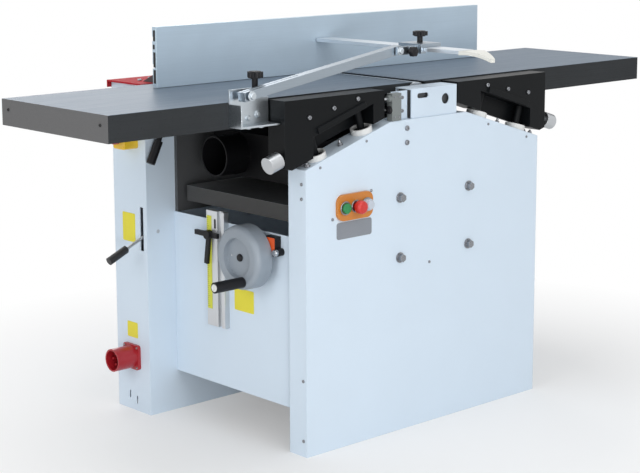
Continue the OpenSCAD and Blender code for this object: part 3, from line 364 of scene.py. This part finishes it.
def piece(name, bm, material, body):
    """Turns a mesh into a piece that rides on a body."""
    bmesh.ops.recalc_face_normals(bm, faces=bm.faces)
    for face in bm.faces:
        face.smooth = True
    for edge in bm.edges:
        if len(edge.link_faces) == 2 and edge.calc_face_angle(0) > SHARP:
            edge.smooth = False
    mesh = bpy.data.meshes.new(name)
    bm.to_mesh(mesh)
    bm.free()
    mesh.materials.append(material)
    made = bpy.data.objects.new(name, mesh)
    bpy.context.scene.collection.objects.link(made)
    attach(made, body)
    return made


LEFT, RIGHT, FRONT, BACK, UP, DOWN = (-1, 0, 0), (1, 0, 0), (0, -1, 0), (0, 1, 0), (0, 0, 1), (0, 0, -1)


def face_matrix(pos, axis):
    """The matrix of a plate on an upright face: its X runs level and its Y up."""
    z = Vector(axis)
    y = Vector((0, 0, 1)) if abs(z.z) < 0.9 else Vector((0, 1, 0))
    x = y.cross(z)
    basis = Matrix((x, y, z)).transposed().to_4x4()
    return Matrix.Translation(Vector(pos) * MM) @ basis @ Matrix.Scale(MM, 4)


def socket_screw(bm, pos, axis, r, h=None, turn=0.0):
    """A low round head with a hexagonal socket."""
    h = h or r * 0.7
    key = hexagon(r * 0.42)
    turned(bm, [(0, r), (h * 0.55, r), (h * 0.9, r * 0.86), (h, r * 0.7), (h, key), (h * 0.35, key)],
           placed(pos, axis, turn))


def hex_head(bm, pos, axis, r, h, washer=0.0, turn=0.0):
    """A hexagonal head or nut with a chamfer, on a washer if one is given."""
    at = placed(pos, axis, turn)
    base = 0.0
    if washer:
        base = 1.6
        turned(bm, [(0, washer), (base * 0.8, washer), (base, washer - 0.6)], at)
    flat = hexagon(r)
    turned(bm, [(base, flat), (base + h * 0.85, flat), (base + h, r * 0.95)], at)


def screws(name, places, axis, r, body, material=None, kind=socket_screw):
    """One piece of like screws, whose places are in millimetres."""
    bm = bmesh.new()
    for i, pos in enumerate(places):
        kind(bm, pos, axis, r, turn=17.0 * i)
    return piece(name, bm, material or BOLT, body)


def plate(name, pos, axis, w, h, material, body, slot, r=3.0, thick=0.8):
    """A bare plate on an upright face."""
    bm = bmesh.new()
    outline_plate(bm, rounded(w, h, r), thick, 0.25, face_matrix(pos, axis))
    return piece(name, bm, material, body)


def block(bm, x, y, z, edge=0.6):
    """A box between two places on each axis, in millimetres, with broken edges."""
    made = bmesh.ops.create_cube(bm, size=1.0)["verts"]
    for v in made:
        v.co = Vector([s[0] + (s[1] - s[0]) * (c + 0.5) for s, c in zip((x, y, z), v.co)]) * MM
    edges = {e for v in made for e in v.link_edges}
    bmesh.ops.bevel(bm, geom=list(edges), offset=edge * MM, segments=2, affect="EDGES")


# Places on the frame, in millimetres

PED_FACE = -265
PED_MID = -235
PED_END = 403
PED_TOP = 766
PED_FLAT = 131
PED_SLOPE = 86 / 272
CAB_SIDE = -477
CAB_MID = 310
CAB_BACK = 378
LID_TOP = 842
PANEL_FACE = -391
RAIL_FACE = -406
TABLE_END = 900
TABLE_FRONT = -205
BRACKET_FACE = -262
CUTTER_X = 20


def slope_z(x):
    """Height of the pedestal's sloping top at a distance from the middle."""
    return PED_TOP - (abs(x) - PED_FLAT) * PED_SLOPE


def off_slope(x):
    """Direction square to the pedestal's sloping top."""
    return Vector((PED_SLOPE * (1 if x > 0 else -1), 0, 1)).normalized()


def corners(centre, across, up):
    """Four places about a centre on a face that looks along X."""
    x, y, z = centre
    return [(x, y + sy * across, z + sz * up) for sy in (-1, 1) for sz in (-1, 1)]


# Details on the pedestal

face_places = [(x, PED_FACE, z) for x, z in ((-196.5, 609), (-321, 555.5), (2.5, 407))]
screws("pedestal_screws", face_places, FRONT, 3.6, "frame")
screws("switch_bolts", [(-78, PED_FACE, z) for z in (745.5, 711)], FRONT, 6.5, "frame")
for name, side, axis in (("pedestal_end_screws", -1, LEFT), ("pedestal_far_screws", 1, RIGHT)):
    upper = [(side * PED_END, -251, z) for z in (646, 612)]
    lower = [(side * PED_END, -254, z) for z in (183, 38)]
    screws(name, upper + lower, axis, 4.0, "frame")

CUP_XS = (-345, -198, 198, 345)
CUP_FLOOR = 4
CUP_INSIDE = 21.6
PAD_HOLE = 11.5
PAD_TOP = CUP_FLOOR + 1.5
cup_screw_places = [(x + (14 if x > 0 else -14), PED_FACE, slope_z(x) - 17) for x in CUP_XS]
screws("cup_screws", cup_screw_places, FRONT, 3.2, "frame")

bm = bmesh.new()
for x in CUP_XS:
    pad = [(CUP_FLOOR, PAD_HOLE), (CUP_FLOOR, CUP_INSIDE), (PAD_TOP, CUP_INSIDE), (PAD_TOP, PAD_HOLE)]
    turned(bm, pad, placed((x, PED_MID, slope_z(x)), off_slope(x)), 40, True)
piece("cup_pads", bm, RUBBER, "frame")

bm = bmesh.new()
for x in (-272, 272):
    foot = (x, -240, slope_z(x))
    turned(bm, [(0, 3.0), (13, 3.0), (14, 2.4)], placed(foot, off_slope(x)))
    hex_head(bm, foot, off_slope(x), 5.2, 5, washer=7)
for x in (-386, 386):
    for y in (-252, -232):
        foot = (x, y, slope_z(x))
        turned(bm, [(0, 3.0), (9, 3.0), (10, 2.4)], placed(foot, off_slope(x)))
        hex_head(bm, foot, off_slope(x), 5.0, 4.5, washer=7.5, turn=y)
piece("slope_studs", bm, BOLT, "frame")

START_X, STOP_X, LAMP_X = -290, -254, -218
CONTROL_Z = 580
CONTROL_FACE = -273
COLLAR_FACE = CONTROL_FACE - 3
bm = bmesh.new()
for x, face, inside, outside in ((START_X, COLLAR_FACE, 13.0, 16.4), (STOP_X, CONTROL_FACE, 10.0, 15.0),
                                 (LAMP_X, CONTROL_FACE, 14.05, 16.8)):
    turned(bm, [(0, inside), (0, outside), (2.4, outside), (3, outside - 0.8), (3, inside)],
           placed((x, face, CONTROL_Z), FRONT), 40, True)
piece("button_rings", bm, BOLT, "frame")

# Bare plates, scale and screws on the cabinet, the panel and the switch

PLATES = "frame", "yellow_plastic"
plate("control_label", (-251.5, PED_FACE, 525), FRONT, 113, 40, PLATE_GREY, "frame", "switch_grey", r=6)
plate("cabinet_plate_upper", (CAB_SIDE, 317, 475.5), LEFT, 52, 73, PLATE_YELLOW, *PLATES)
plate("cabinet_plate_lower", (CAB_SIDE, 311.5, 211), LEFT, 43, 40, PLATE_YELLOW, *PLATES)
plate("panel_plate", (PANEL_FACE, -28, 332.5), LEFT, 72, 55, PLATE_YELLOW, *PLATES)
plate("scale_strip", (RAIL_FACE, 84, 412), LEFT, 17, 232, PLATE_LIME, *PLATES, r=1.0)
# The rail's slot is a thin dark plate of painted shade
plate("rail_slot_painted_shade", (RAIL_FACE, 62, 510), LEFT, 7, 24, SHADE_AND_BLACK, "frame", "black_plastic", r=3.2, thick=0.3)

SCALE_LOW = 302
MARK_PITCH = 5
MARK_COUNT = 45
MARK_EDGE = 92
bm = bmesh.new()
for i in range(MARK_COUNT):
    z = SCALE_LOW + i * MARK_PITCH
    mark_l = 8 if i % 5 == 0 else 4.5
    mark_z = (z - 0.35, z + 0.35)
    block(bm, (RAIL_FACE - 0.95, RAIL_FACE - 0.7), (MARK_EDGE - mark_l, MARK_EDGE), mark_z, 0.05)
piece("scale_marks", bm, SHADE_AND_BLACK, "frame")

INLET = (-485, 312, 142)
ESTOP = (-517, 296, 712)
screws("inlet_screws", corners(INLET, 26, 26), LEFT, 2.8, "frame")
screws("estop_screws", corners(ESTOP, 18, 27), LEFT, 2.4, "frame", YELLOW)
SWITCH_PLATE = -250
SWITCH_FACE = -268
screws("switch_plate_screws", [(-80, SWITCH_PLATE, z) for z in (818, 786)], FRONT, 4.5, "frame")
screws("switch_screws", [(x, SWITCH_FACE, z) for z in (776, 824) for x in (-122, -108)], FRONT, 2.4, "frame")

bm = bmesh.new()
turned(bm, [(0, 9.5), (4.5, 9.5), (6, 8.0), (6, 4.0), (8, 3.6)], placed((-130, -259, 793), LEFT))
piece("switch_hub", bm, BLACK, "frame")

# Rear panel, cabinet and lid: screws round the edges and rows of pressed louvres

RIM_X = 455
RIM_PITCH = 182
LOUVRE_RINGS = ((0, 68, 5.5), (2.4, 67, 4.6), (4.0, 64, 2.6))
LOUVRE_ROWS = 7
LOUVRE_LOW = 250
LOUVRE_PITCH = 24

rim_places = [(RIM_PITCH * i - RIM_X, CAB_BACK, z) for i in range(6) for z in (24, 800)]
side_places = [(x, CAB_BACK, z) for x in (-RIM_X, RIM_X) for z in (218, 412, 606)]
screws("rear_panel_screws", rim_places + side_places, BACK, 5.0, "frame")


def louvre(bm, matrix):
    """A pressed louvre: a long dome that leans down, from rings of (depth, half length, half height)."""
    loops = []
    for depth, half_l, half_h in LOUVRE_RINGS:
        outline = rounded(2 * half_l, 2 * half_h, half_h * 0.95, 4)
        loops.append([bm.verts.new(matrix @ Vector((x, y - depth * 0.5, depth))) for x, y in outline])
    for low, high in zip(loops, loops[1:]):
        for k in range(len(low)):
            n = (k + 1) % len(low)
            bm.faces.new((low[k], low[n], high[n], high[k]))
    bm.faces.new(loops[-1])
    bm.faces.new(list(reversed(loops[0])))


bm = bmesh.new()
for i in range(LOUVRE_ROWS):
    for x in (-60, 100):
        louvre(bm, face_matrix((x, CAB_BACK, LOUVRE_LOW + i * LOUVRE_PITCH), BACK))
piece("rear_louvres", bm, WHITE, "frame")

POST_XS = [side * x for side in (-1, 1) for x in (250, 420)]
POST_FLANGE = LID_TOP + 9
screws("cabinet_far_screws", [(-CAB_SIDE, CAB_MID, z) for z in (60, 420, 780)], RIGHT, 5.0, "frame")
screws("lid_screws", [(x, CAB_MID, LID_TOP) for x in (-440, -150, 150, 440)], UP, 5.5, "frame")
post_places = [(x + end * 19.3, 270, POST_FLANGE) for x in POST_XS for end in (-1, 1)]
screws("hinge_post_screws", post_places, UP, 4.0, "frame")

# Handwheel, grip, indicator

WHEEL_FLOOR = -445
WHEEL_Y, WHEEL_Z = -80, 455
GRIP_END = (-541.3, -101.73, 401.22)
INDICATOR_FACE = -408
bm = bmesh.new()
turned(bm, [(-3, 9.0), (3, 9.0), (4.5, 8.0), (5, 5.0)], placed((WHEEL_FLOOR, WHEEL_Y, WHEEL_Z), LEFT))
piece("wheel_cap", bm, BLACK, "handwheel")
bm = bmesh.new()
turned(bm, [(0, 2.2), (1.2, 2.0)], placed((WHEEL_FLOOR, WHEEL_Y + 30, WHEEL_Z + 2), LEFT))
piece("wheel_pin", bm, STEEL, "handwheel")
bm = bmesh.new()
turned(bm, [(0, 9.0), (1.6, 9.0), (2.4, 8.0), (2.4, 6.4), (1.4, 6.0)], placed(GRIP_END, LEFT))
piece("grip_cap", bm, PALE, "wheel_grip")
plate("indicator_window", (INDICATOR_FACE, -147, 489), LEFT, 28, 38, ORANGE, "frame", "amber_plastic",
      r=3, thick=1.2)
bm = bmesh.new()
knurl = lobed(8.5, 0.8, 12)
turned(bm, [(0, knurl), (7, knurl), (8.5, 7.0), (9, 3.0)], placed((INDICATOR_FACE, -168, 475), LEFT), 48)
piece("indicator_knob", bm, STEEL, "frame")

# Details on the tables

for side, places in (("infeed", ((-389, 799), (-313, 814), (-237.5, 829))),
                     ("outfeed", ((210.5, 826), (288, 810), (366, 795)))):
    screws(side + "_bracket_screws", [(x, BRACKET_FACE, z) for x, z in places], FRONT, 5.5, side + "_table")
for side, x, axis in (("infeed", -TABLE_END, LEFT), ("outfeed", TABLE_END, RIGHT)):
    places = [(x, y, 822) for y in (-178, 178)]
    screws(side + "_end_screws", places, axis, 3.6, side + "_table", SHADE_AND_BLACK)
screws("outfeed_edge_screw", [(478, TABLE_FRONT, 818)], FRONT, 3.6, "outfeed_table")

LIP_EDGE = 16
SLOT_COUNT = 26
SLOT_PITCH = 15.6
SLOT_FIRST = -195
# The lips' slots by the cutter are dark strips of painted shade on the tables' tops
for side_name, side in (("infeed", -1), ("outfeed", 1)):
    bm = bmesh.new()
    near = CUTTER_X + side * LIP_EDGE
    slot_x = sorted((near + side * 1.0, near + side * 11))
    for i in range(SLOT_COUNT):
        y = SLOT_FIRST + i * SLOT_PITCH
        block(bm, slot_x, (y - 2.2, y + 2.2), (844.9, 845.12), 0.06)
    piece(side_name + "_lip_slot_painted_shade", bm, SHADE_AND_BLACK, side_name + "_table")

# Hollows that show at the fence's ends, as (low, high, front, rear), covered by dark plates of painted shade

FENCE_HOLLOWS = ((856, 888, 121.5, 130), (894, 930, 121.5, 130), (937, 948, 124, 131), (956, 982, 121.5, 130))
FENCE_LEFT = -530
FENCE_RIGHT = 590
bm = bmesh.new()
for low, high, front, rear in FENCE_HOLLOWS:
    block(bm, (FENCE_LEFT - 0.25, FENCE_LEFT + 0.2), (front, rear), (low, high), 0.1)
    block(bm, (FENCE_RIGHT - 0.2, FENCE_RIGHT + 0.25), (front, rear), (low, high), 0.1)
piece("fence_end_painted_shade", bm, SHADE_AND_BLACK, "fence")

# Bolts and knob of the guard

PIVOT_END = -248
BRACKET_BACK = -209
BRACKET_BASE = 789
CHEEK_FACE = -252
bm = bmesh.new()
hex_head(bm, (-545, PIVOT_END, 859.6), FRONT, 7.0, 5.5, washer=11, turn=12)
hex_head(bm, (-557, BRACKET_BACK, 811), FRONT, 7.0, 5.0, washer=13, turn=25)
hex_head(bm, (-525, BRACKET_BACK, 806), FRONT, 4.2, 3.5, washer=7)
hex_head(bm, (-497, BRACKET_BACK, 812), FRONT, 5.0, 4.0, washer=8.5, turn=8)
for x, turn in ((-536, 8), (-500, 31)):
    hex_head(bm, (x, -225, BRACKET_BASE), DOWN, 5.0, 4.0, washer=8.5, turn=turn)
piece("guard_bolts", bm, ZINC, "infeed_table")

bm = bmesh.new()
hex_head(bm, (-88.3, CHEEK_FACE, 929.5), FRONT, 6.5, 5.0, washer=9.5, turn=18)
socket_screw(bm, (-38, CHEEK_FACE, 934), FRONT, 3.2)
piece("holder_bolts", bm, ZINC, "guard_holder")
bm = bmesh.new()
grip = lobed(12.5, 1.6, 6)
turned(bm, [(0, 5.0), (8, 5.0), (8.5, grip), (19, grip), (21, lobed(10.5, 1.4, 6)), (22, 5.0)],
       placed((-58, CHEEK_FACE, 927), FRONT), 48)
piece("holder_knob", bm, BLACK, "guard_holder")

# Stage, light and camera

PALE_GREY = (0.82, 0.83, 0.84, 1.0)
FLOOR_HALF = 14.0
FADE_START, FADE_END = 0.7, 1.5


def seen_directly(tree):
    """One for rays from the camera, in reflections and through glass, and nought for light on the object."""
    path = add(tree, "ShaderNodeLightPath")
    seen = maths(tree, "MAXIMUM", path.outputs["Is Camera Ray"], path.outputs["Is Glossy Ray"])
    return maths(tree, "MAXIMUM", seen, path.outputs["Is Transmission Ray"])


def white_to_the_eye(name):
    """A pale floor that keeps the object's shadow and turns to the white background away from it."""
    material, tree, shader = tree_of(name)
    shader.inputs["Base Color"].default_value = PALE_GREY
    shader.inputs["Roughness"].default_value = 0.9
    coords = add(tree, "ShaderNodeTexCoord").outputs["Object"]
    away = add(tree, "ShaderNodeVectorMath", {"operation": "LENGTH"}, _0=coords).outputs["Value"]
    fade = remap(tree, away, FADE_START, FADE_END, 0.3, 1.0)
    factor = maths(tree, "MULTIPLY", fade, seen_directly(tree))
    glow = add(tree, "ShaderNodeEmission", Color=(1.0, 1.0, 1.0, 1.0), Strength=1.0)
    blend = add(tree, "ShaderNodeMixShader", _0=factor, _1=shader.outputs[0], _2=glow.outputs[0])
    tree.links.new(blend.outputs[0], tree.nodes["Material Output"].inputs["Surface"])
    return material


bm = bmesh.new()
bmesh.ops.create_grid(bm, x_segments=2, y_segments=2, size=FLOOR_HALF)
floor_mesh = bpy.data.meshes.new("floor")
bm.to_mesh(floor_mesh)
bm.free()
floor_mesh.materials.append(white_to_the_eye("floor_white"))
floor = bpy.data.objects.new("floor", floor_mesh)
bpy.context.scene.collection.objects.link(floor)


def soft_lamp(name, place, aim, size, power):
    """A wide lamp that looks at a place, with its size in metres and its power in watts."""
    lamp = bpy.data.lights.new(name, "AREA")
    lamp.shape = "RECTANGLE"
    lamp.size, lamp.size_y = size
    lamp.energy = power
    made = bpy.data.objects.new(name, lamp)
    made.location = place
    made.rotation_mode = "QUATERNION"
    made.rotation_quaternion = (Vector(aim) - Vector(place)).to_track_quat("-Z", "Y")
    bpy.context.scene.collection.objects.link(made)


MIDDLE = (0.0, 0.0, 0.5)
soft_lamp("key", (-1.2, -4.2, 3.2), MIDDLE, (3.2, 2.4), 62)
soft_lamp("side", (-4.6, -0.6, 2.2), MIDDLE, (2.6, 2.6), 52)
soft_lamp("top", (0.4, 0.2, 4.6), MIDDLE, (4.0, 3.0), 58)
soft_lamp("far_side", (1.8, 4.6, 2.4), MIDDLE, (2.6, 2.6), 47)
soft_lamp("low_fill", (-2.6, -3.6, 0.45), (0.0, 0.1, 0.35), (1.6, 0.8), 42)

scene = bpy.context.scene
world = bpy.data.worlds.new("studio")
scene.world = world
world.use_nodes = True
sky = world.node_tree
back = sky.nodes["Background"]
WORLD_LIGHT = 0.5
sky.links.new(remap(sky, seen_directly(sky), 0.0, 1.0, WORLD_LIGHT, 1.0), back.inputs["Strength"])
back.inputs["Color"].default_value = (1.0, 1.0, 1.0, 1.0)
scene.view_settings.view_transform = "Standard"

# The camera that was fitted to the photograph, with less shift than the fit

IMAGE_W = 640
FOCAL_PX = 1647.9
SENSOR = 36.0
LENS_SHIFT = -0.08
YAW, PITCH, ROLL = (math.radians(a) for a in (42.4209, -9.9491, -0.1878))
eye = Vector((-2.86, -3.0015, 1.2912))
ahead = Vector((math.sin(YAW) * math.cos(PITCH), math.cos(YAW) * math.cos(PITCH), math.sin(PITCH)))
level = Vector((math.cos(YAW), -math.sin(YAW), 0.0))
upright = level.cross(ahead)
right = level * math.cos(ROLL) + upright * math.sin(ROLL)
upward = upright * math.cos(ROLL) - level * math.sin(ROLL)
camera_data = bpy.data.cameras.new("camera")
camera_data.sensor_width = SENSOR
camera_data.lens = FOCAL_PX / IMAGE_W * SENSOR
camera_data.shift_y = LENS_SHIFT
camera = bpy.data.objects.new("camera", camera_data)
camera.matrix_world = Matrix.Translation(eye) @ Matrix((right, upward, -ahead)).transposed().to_4x4()
scene.collection.objects.link(camera)
scene.camera = camera
